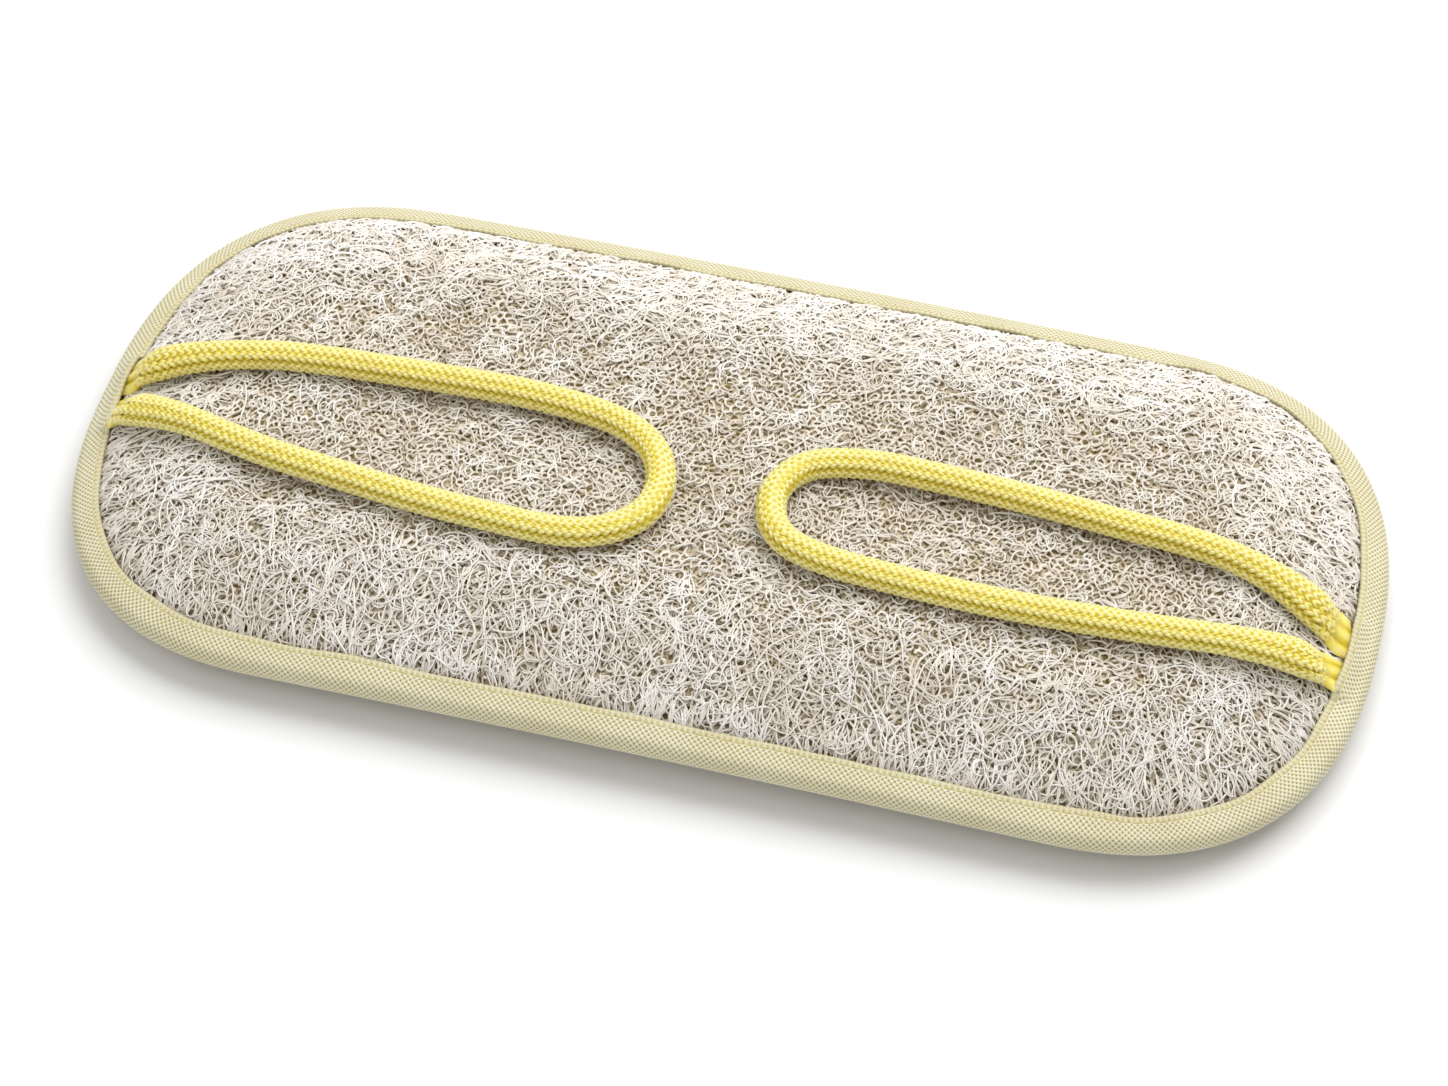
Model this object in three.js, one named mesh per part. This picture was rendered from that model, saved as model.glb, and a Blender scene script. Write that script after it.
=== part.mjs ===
// Bath scrubbing pad: a crowned slab of natural loofah, its edge bound with woven tape and sewn through,
// with a braided cord loop sewn in at each end and folded inwards over the front face.
// Millimetres. +Z is up out of the front face, +X runs along the pad, the origin is on the surface it lies on.
import * as THREE from 'three';
import { mergeVertices } from 'three/addons/utils/BufferGeometryUtils.js';

// Outline of the pad, measured over the binding.
const PAD_LENGTH = 300;
const PAD_WIDTH = 145;
// Each rounded end takes up this much of the length.
const END_DEPTH = 63.5;
// Exponent of the rounded ends: 2 is an ellipse, more is squarer.
const END_FULLNESS = 2.45;

// The edge's mid plane stands this high at the middle of the pad, and sinks a little towards the ends.
const EDGE_HEIGHT = 10;
const END_DROOP = 2.5;

// Tape folded round the edge: a rounded outer fold and two straight flaps that splay over the loofah.
const FOLD_RADIUS = 3;
const TAPE_THICKNESS = 0.9;
const FLAP_REACH = 6.4;
const FLAP_SPLAY = THREE.MathUtils.degToRad(19.3);

// Loofah faces, as heights from the edge's mid plane, reached at a distance in from the outline.
const FRONT_RISE = 14;
const FRONT_RUN = 36;
const BACK_RISE = 11;
const BACK_RUN = 30;

// Sewing thread that lies on each flap, near the tape's inner edge.
const THREAD_RADIUS = 0.35;
const THREAD_INSET = 5.4;

// Braided cord of the loops.
const CORD_DIAMETER = 7;
const CORD_SIDES = 10;
const CORD_STEPS = 46;

// Clearance between neighbouring pieces.
const SEAM_GAP = 0.3;

// Facets.
const OUTLINE_STEPS = 72;
const OUTLINE_SAMPLES = 240;
const FOLD_STEPS = 4;
const THREAD_SIDES = 6;

const HALF_LENGTH = PAD_LENGTH / 2;
const HALF_WIDTH = PAD_WIDTH / 2;

// Rings further in than this close up towards the pad's middle line instead of following the outline.
const RING_LIMIT = 27;
const MIDDLE_LINE_HALF = HALF_LENGTH - HALF_WIDTH;
const FACE_INSETS = [9, 12, 16, 21, RING_LIMIT, FRONT_RUN, HALF_WIDTH];

// Routes of the two loops, from the far leg's end at the binding, round the tip, to the near leg's end.
const LEFT_LOOP_ROUTE = [
  [-144.0, -2.0, 14.9],
  [-137.8, -0.7, 19.2],
  [-131.5, 0.1, 22.4],
  [-125.4, 0.7, 24.6],
  [-119.5, 1.6, 25.9],
  [-108.2, 4.0, 26.5],
  [-96.5, 5.2, 26.8],
  [-84.6, 5.7, 27.1],
  [-72.7, 6.1, 27.3],
  [-60.9, 6.5, 27.4],
  [-49.0, 6.5, 27.6],
  [-36.9, 5.6, 27.7],
  [-26.0, 3.4, 27.8],
  [-19.8, 0.4, 27.8],
  [-15.4, -3.6, 27.8],
  [-12.7, -9.0, 27.8],
  [-11.8, -14.9, 27.8],
  [-13.3, -21.0, 27.8],
  [-17.8, -26.4, 27.8],
  [-24.7, -30.0, 27.8],
  [-32.0, -31.1, 27.7],
  [-48.3, -30.7, 27.6],
  [-61.5, -29.8, 27.4],
  [-73.5, -28.4, 27.2],
  [-85.8, -26.7, 27.0],
  [-98.2, -25.0, 26.8],
  [-111.1, -22.2, 26.5],
  [-117.8, -20.2, 26.0],
  [-124.8, -18.0, 24.5],
  [-132.0, -15.7, 21.8],
  [-138.1, -13.9, 18.7],
  [-143.6, -13.1, 15.0],
];
const RIGHT_LOOP_ROUTE = [
  [143.9, -7.1, 15.0],
  [137.2, -5.2, 19.5],
  [131.0, -3.2, 22.6],
  [124.9, -1.5, 24.7],
  [119.0, -0.2, 26.0],
  [113.1, 1.2, 26.4],
  [101.7, 2.7, 26.7],
  [90.4, 3.3, 26.9],
  [78.9, 4.1, 27.2],
  [67.4, 4.9, 27.3],
  [55.9, 5.4, 27.5],
  [44.4, 5.7, 27.6],
  [32.9, 5.5, 27.7],
  [22.0, 3.1, 27.8],
  [17.6, 0.5, 27.8],
  [14.7, -3.3, 27.8],
  [13.2, -8.3, 27.8],
  [13.8, -13.3, 27.8],
  [15.8, -17.8, 27.8],
  [19.7, -21.3, 27.8],
  [25.2, -23.3, 27.8],
  [31.8, -24.5, 27.7],
  [47.3, -25.6, 27.6],
  [62.8, -26.0, 27.4],
  [79.4, -25.6, 27.1],
  [95.8, -24.6, 26.8],
  [106.7, -23.7, 26.6],
  [117.5, -22.4, 26.0],
  [122.9, -21.4, 24.9],
  [128.3, -20.1, 23.2],
  [133.8, -18.9, 20.8],
  [139.5, -17.8, 17.5],
  [143.2, -17.2, 15.1],
];

const LOOFAH = new THREE.MeshStandardMaterial({ color: 0xd6cab2, roughness: 0.9, metalness: 0 });
const TAPE = new THREE.MeshStandardMaterial({ color: 0xe7ddb2, roughness: 0.85, metalness: 0 });
const THREAD = new THREE.MeshStandardMaterial({ color: 0xdccb86, roughness: 0.7, metalness: 0 });
const CORD = new THREE.MeshStandardMaterial({ color: 0xead85c, roughness: 0.6, metalness: 0 });

// Evenly spaced points around the outline, from the +X tip towards +Y, and the outward direction at each.
function outlineStations() {
  const power = 2 / END_FULLNESS;
  const straightHalf = HALF_LENGTH - END_DEPTH;
  const samples = [];
  for (let index = 0; index <= OUTLINE_SAMPLES; index += 1) {
    const turn = (index % OUTLINE_SAMPLES) / OUTLINE_SAMPLES * 2 * Math.PI;
    const along = Math.cos(turn);
    const across = Math.sin(turn);
    const x = Math.sign(along) * (straightHalf + END_DEPTH * Math.abs(along) ** power);
    const y = Math.sign(across) * HALF_WIDTH * Math.abs(across) ** power;
    samples.push(new THREE.Vector2(x, y));
  }
  const points = new THREE.Path(samples).getSpacedPoints(OUTLINE_STEPS).slice(0, OUTLINE_STEPS);
  return points.map((point, step) => {
    const before = points[(step + OUTLINE_STEPS - 1) % OUTLINE_STEPS];
    const after = points[(step + 1) % OUTLINE_STEPS];
    const outward = new THREE.Vector2(after.y - before.y, before.x - after.x).normalize();
    return { point, outward };
  });
}

const STATIONS = outlineStations();

// Height of the edge's mid plane at a distance along the pad.
function midPlane(x) {
  return EDGE_HEIGHT - END_DROOP * (x / HALF_LENGTH) ** 2;
}

// Place of a section point (x: distance in from the outline, y: height from the mid plane) at one station.
function spotAt(step, section) {
  const { point, outward } = STATIONS[step];
  const ring = point.clone().addScaledVector(outward, -Math.min(section.x, RING_LIMIT));
  const share = Math.max(section.x - RING_LIMIT, 0) / (HALF_WIDTH - RING_LIMIT);
  const mirrored = STATIONS[Math.min(step, OUTLINE_STEPS - step)];
  const innerX = mirrored.point.x - mirrored.outward.x * RING_LIMIT;
  const middleX = innerX * MIDDLE_LINE_HALF / (HALF_LENGTH - RING_LIMIT);
  const x = THREE.MathUtils.lerp(ring.x, middleX, share);
  const y = THREE.MathUtils.lerp(ring.y, 0, share);
  return new THREE.Vector3(x, y, Math.max(midPlane(x) + section.y, 0));
}

// Solid made by carrying a section once around the outline.
function carryAround(section) {
  const geometry = new THREE.LatheGeometry(section, OUTLINE_STEPS);
  const position = geometry.getAttribute('position');
  for (let step = 0; step <= OUTLINE_STEPS; step += 1) {
    section.forEach((sectionPoint, index) => {
      const spot = spotAt(step % OUTLINE_STEPS, sectionPoint);
      position.setXYZ(step * section.length + index, spot.x, spot.y, spot.z);
    });
  }
  geometry.deleteAttribute('normal');
  geometry.deleteAttribute('uv');
  const solid = mergeVertices(geometry);
  solid.computeVertexNormals();
  return solid;
}

// Front half of the line at a radius round the fold's centre: from the edge, round, and out along the flap.
function foldLine(radius, reach) {
  const line = [];
  for (let index = 0; index <= FOLD_STEPS; index += 1) {
    const turn = (Math.PI / 2 - FLAP_SPLAY) * index / FOLD_STEPS;
    line.push(new THREE.Vector2(FOLD_RADIUS - radius * Math.cos(turn), radius * Math.sin(turn)));
  }
  const last = line[FOLD_STEPS];
  line.push(new THREE.Vector2(reach, last.y + (reach - last.x) * Math.tan(FLAP_SPLAY)));
  return line;
}

function mirrored(line) {
  return line.map((point) => new THREE.Vector2(point.x, -point.y));
}

// Folded tape: its outer line over the edge from back to front, then its inner line back again.
function bindingSection() {
  const outer = foldLine(FOLD_RADIUS, FLAP_REACH);
  const inner = foldLine(FOLD_RADIUS - TAPE_THICKNESS, FLAP_REACH + SEAM_GAP);
  const front = [...outer, ...inner.slice(1).reverse()];
  const back = mirrored([...inner, ...outer.slice(1).reverse()]);
  return [...front, ...back, outer[0]];
}

// Rise of a loofah face above the rim, as a soft curve that levels out at its full height.
function faceHeight(inset, rim, rise, run) {
  const share = THREE.MathUtils.clamp((inset - rim.x) / (run - rim.x), 0, 1);
  return rim.y + (rise - rim.y) * (1 - (1 - share) ** 2);
}

// Loofah slab from the middle line of the back, round the rim inside the tape, to the middle of the front.
function loofahSection() {
  const rimLine = foldLine(FOLD_RADIUS - TAPE_THICKNESS - SEAM_GAP, FLAP_REACH + 2 * SEAM_GAP);
  const rim = rimLine[rimLine.length - 1];
  const face = (rise, run) => FACE_INSETS.map(
    (inset) => new THREE.Vector2(inset, faceHeight(inset, rim, rise, run)),
  );
  const front = [...rimLine, ...face(FRONT_RISE, FRONT_RUN)];
  const back = mirrored([...rimLine.slice(1), ...face(BACK_RISE, BACK_RUN)]);
  return [...back.reverse(), ...front];
}

// Thread on the outer side of a flap; side is 1 for the front flap and -1 for the back one.
function threadSection(side) {
  const flap = foldLine(FOLD_RADIUS, FLAP_REACH);
  const lift = THREAD_RADIUS + SEAM_GAP;
  const start = flap[FOLD_STEPS];
  const centreX = THREAD_INSET - lift * Math.sin(FLAP_SPLAY);
  const flapY = start.y + (THREAD_INSET - start.x) * Math.tan(FLAP_SPLAY);
  const centreY = side * (flapY + lift * Math.cos(FLAP_SPLAY));
  const section = [];
  for (let index = 0; index <= THREAD_SIDES; index += 1) {
    const turn = (index % THREAD_SIDES) / THREAD_SIDES * 2 * Math.PI;
    const x = centreX + THREAD_RADIUS * Math.cos(turn);
    section.push(new THREE.Vector2(x, centreY - THREAD_RADIUS * Math.sin(turn)));
  }
  return section;
}

// Round cord along a route.
function cordAlong(route) {
  const section = new THREE.Shape();
  section.setFromPoints(new THREE.EllipseCurve(0, 0, CORD_DIAMETER / 2, CORD_DIAMETER / 2)
    .getPoints(CORD_SIDES).slice(0, CORD_SIDES));
  const path = new THREE.CatmullRomCurve3(route.map((spot) => new THREE.Vector3(...spot)));
  return new THREE.ExtrudeGeometry(section, { steps: CORD_STEPS, extrudePath: path });
}

function piece(name, geometry, material) {
  const mesh = new THREE.Mesh(geometry, material);
  mesh.name = name;
  return mesh;
}

const bathPad = new THREE.Group();
bathPad.add(piece('loofah_pad', carryAround(loofahSection()), LOOFAH));
bathPad.add(piece('edge_binding', carryAround(bindingSection()), TAPE));
bathPad.add(piece('front_stitch_thread', carryAround(threadSection(1)), THREAD));
bathPad.add(piece('back_stitch_thread', carryAround(threadSection(-1)), THREAD));
bathPad.add(piece('left_loop_cord', cordAlong(LEFT_LOOP_ROUTE), CORD));
bathPad.add(piece('right_loop_cord', cordAlong(RIGHT_LOOP_ROUTE), CORD));

export default bathPad;
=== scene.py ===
"""Bath scrubbing pad of natural loofah, with a sewn woven edge tape and two braided cord loops.

Every length is in metres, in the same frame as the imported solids: +X along the pad,
+Z up out of its front face.
"""

import logging
import math
from collections.abc import Sequence
from dataclasses import dataclass, field
from enum import Enum

import bpy
import numpy as np
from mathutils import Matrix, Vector


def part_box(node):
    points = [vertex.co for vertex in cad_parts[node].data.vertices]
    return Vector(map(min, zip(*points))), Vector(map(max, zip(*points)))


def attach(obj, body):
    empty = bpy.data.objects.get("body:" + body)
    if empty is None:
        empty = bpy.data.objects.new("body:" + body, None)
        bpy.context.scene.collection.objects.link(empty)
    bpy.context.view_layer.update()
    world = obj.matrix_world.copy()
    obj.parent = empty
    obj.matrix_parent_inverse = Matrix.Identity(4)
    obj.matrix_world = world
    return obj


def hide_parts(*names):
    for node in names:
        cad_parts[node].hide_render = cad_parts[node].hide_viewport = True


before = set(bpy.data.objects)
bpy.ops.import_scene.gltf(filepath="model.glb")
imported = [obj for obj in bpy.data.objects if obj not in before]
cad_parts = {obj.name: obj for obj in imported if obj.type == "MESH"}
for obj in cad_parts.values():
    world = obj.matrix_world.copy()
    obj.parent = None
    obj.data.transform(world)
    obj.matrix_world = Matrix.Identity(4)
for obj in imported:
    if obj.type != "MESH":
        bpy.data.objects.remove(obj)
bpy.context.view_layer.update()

LOG = logging.getLogger("bath_pad")
MM = 0.001
BODY = "root"

Array = np.ndarray
Colour = tuple[float, float, float]

# Routes of the two loops in millimetres, from the far leg's end at the tape, round the tip,
# to the near leg's end.
LEFT_LOOP_ROUTE = [
    (-144.0, -2.0, 14.9), (-137.8, -0.7, 19.2), (-131.5, 0.1, 22.4), (-125.4, 0.7, 24.6),
    (-119.5, 1.6, 25.9), (-108.2, 4.0, 26.5), (-96.5, 5.2, 26.8), (-84.6, 5.7, 27.1),
    (-72.7, 6.1, 27.3), (-60.9, 6.5, 27.4), (-49.0, 6.5, 27.6), (-36.9, 5.6, 27.7),
    (-26.0, 3.4, 27.8), (-19.8, 0.4, 27.8), (-15.4, -3.6, 27.8), (-12.7, -9.0, 27.8),
    (-11.8, -14.9, 27.8), (-13.3, -21.0, 27.8), (-17.8, -26.4, 27.8), (-24.7, -30.0, 27.8),
    (-32.0, -31.1, 27.7), (-48.3, -30.7, 27.6), (-61.5, -29.8, 27.4), (-73.5, -28.4, 27.2),
    (-85.8, -26.7, 27.0), (-98.2, -25.0, 26.8), (-111.1, -22.2, 26.5), (-117.8, -20.2, 26.0),
    (-124.8, -18.0, 24.5), (-132.0, -15.7, 21.8), (-138.1, -13.9, 18.7), (-143.6, -13.1, 15.0),
]
RIGHT_LOOP_ROUTE = [
    (143.9, -7.1, 15.0), (137.2, -5.2, 19.5), (131.0, -3.2, 22.6), (124.9, -1.5, 24.7),
    (119.0, -0.2, 26.0), (113.1, 1.2, 26.4), (101.7, 2.7, 26.7), (90.4, 3.3, 26.9),
    (78.9, 4.1, 27.2), (67.4, 4.9, 27.3), (55.9, 5.4, 27.5), (44.4, 5.7, 27.6),
    (32.9, 5.5, 27.7), (22.0, 3.1, 27.8), (17.6, 0.5, 27.8), (14.7, -3.3, 27.8),
    (13.2, -8.3, 27.8), (13.8, -13.3, 27.8), (15.8, -17.8, 27.8), (19.7, -21.3, 27.8),
    (25.2, -23.3, 27.8), (31.8, -24.5, 27.7), (47.3, -25.6, 27.6), (62.8, -26.0, 27.4),
    (79.4, -25.6, 27.1), (95.8, -24.6, 26.8), (106.7, -23.7, 26.6), (117.5, -22.4, 26.0),
    (122.9, -21.4, 24.9), (128.3, -20.1, 23.2), (133.8, -18.9, 20.8), (139.5, -17.8, 17.5),
    (143.2, -17.2, 15.1),
]


class Side(Enum):
    """Face of the pad; the value is the sign of its height from the edge's mid plane."""

    FRONT = 1
    BACK = -1


class Slot(Enum):
    """Material slots of the record."""

    LOOFAH = "loofah"
    TAPE = "binding_tape"
    THREAD = "sewing_thread"
    CORD = "loop_cord"


def unit(vectors: Array) -> Array:
    """Scales vectors to length one.

    Args:
        vectors: Vectors along the last axis.

    Returns:
        The unit vectors.
    """
    return vectors / np.maximum(np.linalg.norm(vectors, axis=-1, keepdims=True), 1e-12)


def ease(value: Array, low: float, high: float) -> Array:
    """Smooth step from 0 at low to 1 at high.

    Args:
        value: Where to read the step.
        low: Where the step starts.
        high: Where the step ends.

    Returns:
        The step's value, from 0 to 1.
    """
    share = np.clip((value - low) / (high - low), 0.0, 1.0)
    return share * share * (3.0 - 2.0 * share)


def ripple(turn: Array, rng: np.random.Generator, lowest: int, highest: int) -> Array:
    """Smooth noise that closes on itself, about -1 to 1.

    Args:
        turn: Share of the way round, from 0 to 1.
        rng: Source of the phases.
        lowest: Fewest waves in one turn.
        highest: Most waves in one turn.

    Returns:
        The noise at each turn.
    """
    waves = np.arange(lowest, highest + 1)
    phases = rng.uniform(0.0, 2.0 * math.pi, len(waves))
    weights = rng.normal(0.0, 1.0, len(waves)) / math.sqrt(len(waves))
    return np.sin(2.0 * math.pi * turn[:, None] * waves + phases) @ weights


@dataclass
class MeshData:
    """Corners and faces of a mesh in the making, with named values at the corners."""

    corners: Array
    quads: Array
    ends: list[Array] = field(default_factory=list)
    values: dict[str, Array] = field(default_factory=dict)

    @staticmethod
    def joined(parts: Sequence["MeshData"]) -> "MeshData":
        """Joins several meshes into one.

        Args:
            parts: Meshes that hold the same named values.

        Returns:
            One mesh with every corner and face.
        """
        starts = np.cumsum([0] + [len(part.corners) for part in parts[:-1]])
        return MeshData(
            corners=np.concatenate([part.corners for part in parts]),
            quads=np.concatenate([part.quads + start for part, start in zip(parts, starts)]),
            ends=[end + start for part, start in zip(parts, starts) for end in part.ends],
            values={name: np.concatenate([part.values[name] for part in parts]) for name in parts[0].values},
        )

    def build(self, name: str, material: bpy.types.Material, slot: Slot) -> bpy.types.Object:
        """Makes the Blender object, smooth shaded and riding on the pad.

        Args:
            name: Name of the piece.
            material: Its finish.
            slot: Record slot that the finish belongs to; not used.

        Returns:
            The new object.
        """
        rows = [self.quads] + self.ends
        index = np.concatenate([row.reshape(-1) for row in rows]).astype(np.int32)
        sizes = np.concatenate([np.full(len(row), row.shape[1], np.int32) for row in rows])
        mesh = bpy.data.meshes.new(name)
        mesh.vertices.add(len(self.corners))
        mesh.vertices.foreach_set("co", self.corners.astype(np.float32).ravel())
        mesh.loops.add(len(index))
        mesh.loops.foreach_set("vertex_index", index)
        mesh.polygons.add(len(sizes))
        mesh.polygons.foreach_set("loop_start", np.concatenate([[0], np.cumsum(sizes)[:-1]]).astype(np.int32))
        for value_name, value in self.values.items():
            layer = mesh.attributes.new(value_name, "FLOAT", "POINT")
            layer.data.foreach_set("value", value.astype(np.float32))
        mesh.update(calc_edges=True)
        mesh.validate()
        mesh.shade_smooth()
        mesh.materials.append(material)
        piece = bpy.data.objects.new(name, mesh)
        bpy.context.scene.collection.objects.link(piece)
        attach(piece, BODY)
        return piece


def tubes(
    centres: Array, ups: Array, wide: Array, tall: Array, sides: int, values: dict[str, Array],
    open_below: bool = False,
) -> MeshData:
    """Tubes along many short lines of the same number of points.

    Args:
        centres: Points of each line, shaped (lines, points, 3).
        ups: Direction that each section's height lies along, of the same shape.
        wide: Half width of each section, shaped (lines, points).
        tall: Half height of each section, of the same shape.
        sides: Corners of a section.
        values: Named values at each point, shaped (lines, points).
        open_below: Whether to keep only the two sides next to the top, for tubes whose underside is hidden.

    Returns:
        The tubes as one mesh.
    """
    lines, points, _ = centres.shape
    along = unit(np.gradient(centres, axis=1))
    across = unit(np.cross(along, ups))
    upright = np.cross(across, along)
    turn = 2.0 * math.pi * np.arange(sides) / sides + math.pi / 2.0
    corners = (
        centres[:, :, None, :]
        + (wide[:, :, None] * np.cos(turn))[..., None] * across[:, :, None, :]
        + (tall[:, :, None] * np.sin(turn))[..., None] * upright[:, :, None, :]
    )
    grid = np.arange(lines * points * sides).reshape(lines, points, sides)
    after = np.roll(grid, -1, axis=2)
    quads = np.stack([grid[:, :-1], grid[:, 1:], after[:, 1:], after[:, :-1]], axis=-1)
    if open_below:
        quads = quads[:, :, [0, -1]]
    return MeshData(
        corners=corners.reshape(-1, 3),
        quads=quads.reshape(-1, 4),
        ends=[] if open_below else [grid[:, 0, :], grid[:, -1, ::-1]],
        values={name: np.repeat(value.reshape(-1), sides) for name, value in values.items()},
    )


@dataclass
class PadShape:
    """Outer form of the pad: its outline, and the heights of its two faces."""

    half_length: float
    half_width: float
    front_top: float
    end_depth: float = 63.5 * MM
    end_fullness: float = 2.45
    edge_height: float = 10.0 * MM
    end_droop: float = 2.5 * MM
    fold_radius: float = 3.0 * MM
    tape_thickness: float = 0.9 * MM
    flap_reach: float = 6.4 * MM
    flap_splay: float = math.radians(19.3)
    rim_inset: float = 7.0 * MM
    rim_height: float = 3.3 * MM
    front_run: float = 36.0 * MM
    back_rise: float = 11.0 * MM
    back_run: float = 30.0 * MM
    grid_step: float = 1.0 * MM
    stations: int = 900
    lump: float = 0.45 * MM
    puff: float = 0.9 * MM

    def __post_init__(self) -> None:
        """Works out the outline and the height grids once."""
        self.outline, self.outward, self.perimeter = self.even_outline(self.stations)
        reach_x = self.half_length + 4.0 * self.grid_step
        reach_y = self.half_width + 4.0 * self.grid_step
        self.grid_x = np.arange(-reach_x, reach_x, self.grid_step)
        self.grid_y = np.arange(-reach_y, reach_y, self.grid_step)
        spots = np.stack(np.meshgrid(self.grid_x, self.grid_y, indexing="ij"), axis=-1)
        self.inset_grid, self.outward_grid = self.measure_insets(spots)
        self.height_grids = {side: self.face_grid(side, spots) for side in Side}

    @classmethod
    def from_frame(cls) -> "PadShape":
        """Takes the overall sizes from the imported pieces."""
        _, tape_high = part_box("edge_binding")
        _, loofah_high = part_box("loofah_pad")
        return cls(half_length=tape_high.x, half_width=tape_high.y, front_top=loofah_high.z)

    def even_outline(self, count: int) -> tuple[Array, Array, float]:
        """Evenly spaced points round the outline, from the +X tip towards +Y.

        Args:
            count: Number of points.

        Returns:
            The points, the outward direction at each, and the outline's length.
        """
        turn = np.linspace(0.0, 2.0 * math.pi, 2401)
        power = 2.0 / self.end_fullness
        along = np.cos(turn)
        across = np.sin(turn)
        straight = self.half_length - self.end_depth
        x = np.sign(along) * (straight + self.end_depth * np.abs(along) ** power)
        y = np.sign(across) * self.half_width * np.abs(across) ** power
        walked = np.concatenate([[0.0], np.cumsum(np.hypot(np.diff(x), np.diff(y)))])
        places = np.linspace(0.0, walked[-1], count, endpoint=False)
        points = np.stack([np.interp(places, walked, x), np.interp(places, walked, y)], axis=-1)
        ahead = np.roll(points, -1, axis=0) - np.roll(points, 1, axis=0)
        outward = unit(np.stack([ahead[:, 1], -ahead[:, 0]], axis=-1))
        return points, outward, float(walked[-1])

    def measure_insets(self, spots: Array) -> tuple[Array, Array]:
        """Distance in from the outline, and the outline's outward direction at the nearest point.

        Args:
            spots: Plan points, shaped (columns, rows, 2).

        Returns:
            The distances, negative outside, and the directions.
        """
        inset = np.empty(spots.shape[:2])
        outward = np.empty(spots.shape)
        for column, line in enumerate(spots):
            gap = line[:, None, :] - self.outline[None, :, :]
            nearest = np.argmin(np.einsum("ijk,ijk->ij", gap, gap), axis=1)
            outward[column] = self.outward[nearest]
            inset[column] = -np.sum((line - self.outline[nearest]) * outward[column], axis=1)
        return inset, outward

    def mid_plane(self, x: Array) -> Array:
        """Height of the edge's mid plane at places along the pad."""
        return self.edge_height - self.end_droop * (x / self.half_length) ** 2

    def face_grid(self, side: Side, spots: Array) -> Array:
        """Heights of one face over the plan grid.

        Args:
            side: Which face.
            spots: Plan points of the grid.

        Returns:
            The face's height at each point.
        """
        x, y = spots[..., 0], spots[..., 1]
        rise = self.front_top - self.edge_height if side is Side.FRONT else self.back_rise
        run = self.front_run if side is Side.FRONT else self.back_run
        share = np.clip((self.inset_grid - self.rim_inset) / (run - self.rim_inset), 0.0, 1.0)
        under_tape = np.minimum(self.inset_grid - self.rim_inset, 0.0) * math.tan(self.flap_splay)
        height = self.rim_height + under_tape + (rise - self.rim_height) * (1.0 - (1.0 - share) ** 2)
        lumps = np.sin(x / (17.0 * MM) + 1.3) * np.sin(y / (13.0 * MM) + 0.4)
        lumps += 0.7 * np.sin(x / (9.0 * MM) - y / (11.0 * MM))
        height = height + self.lump * lumps * ease(self.inset_grid, self.rim_inset, 20.0 * MM)
        beside_tape = ease(self.inset_grid, self.flap_reach - 0.3 * MM, self.flap_reach + 1.0 * MM)
        height = height + self.puff * beside_tape * (1.0 - ease(self.inset_grid, 8.0 * MM, 19.0 * MM))
        if side is Side.FRONT:
            return self.mid_plane(x) + height
        return np.maximum(self.mid_plane(x) - height, 0.0)

    def read(self, grid: Array, x: Array, y: Array) -> Array:
        """Reads a plan grid between its points.

        Args:
            grid: Values over the plan grid.
            x: Places along the pad.
            y: Places across the pad.

        Returns:
            The values at the places.
        """
        u = np.clip((x - self.grid_x[0]) / self.grid_step, 0.0, len(self.grid_x) - 1.001)
        v = np.clip((y - self.grid_y[0]) / self.grid_step, 0.0, len(self.grid_y) - 1.001)
        i, j = u.astype(int), v.astype(int)
        s, t = u - i, v - j
        if grid.ndim == 3:
            s, t = s[..., None], t[..., None]
        low = grid[i, j] * (1.0 - t) + grid[i, j + 1] * t
        high = grid[i + 1, j] * (1.0 - t) + grid[i + 1, j + 1] * t
        return low * (1.0 - s) + high * s

    def on_face(self, side: Side, x: Array, y: Array) -> tuple[Array, Array]:
        """Points of a face above plan places, and the face's direction there.

        Args:
            side: Which face.
            x: Places along the pad.
            y: Places across the pad.

        Returns:
            The points and the unit normals, which point out of the pad.
        """
        grid = self.height_grids[side]
        step = self.grid_step
        z = self.read(grid, x, y)
        slope_x = (self.read(grid, x + step, y) - self.read(grid, x - step, y)) / (2.0 * step)
        slope_y = (self.read(grid, x, y + step) - self.read(grid, x, y - step)) / (2.0 * step)
        normal = unit(np.stack([-slope_x, -slope_y, np.ones_like(z)], axis=-1)) * side.value
        return np.stack([x, y, z], axis=-1), normal


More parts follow.
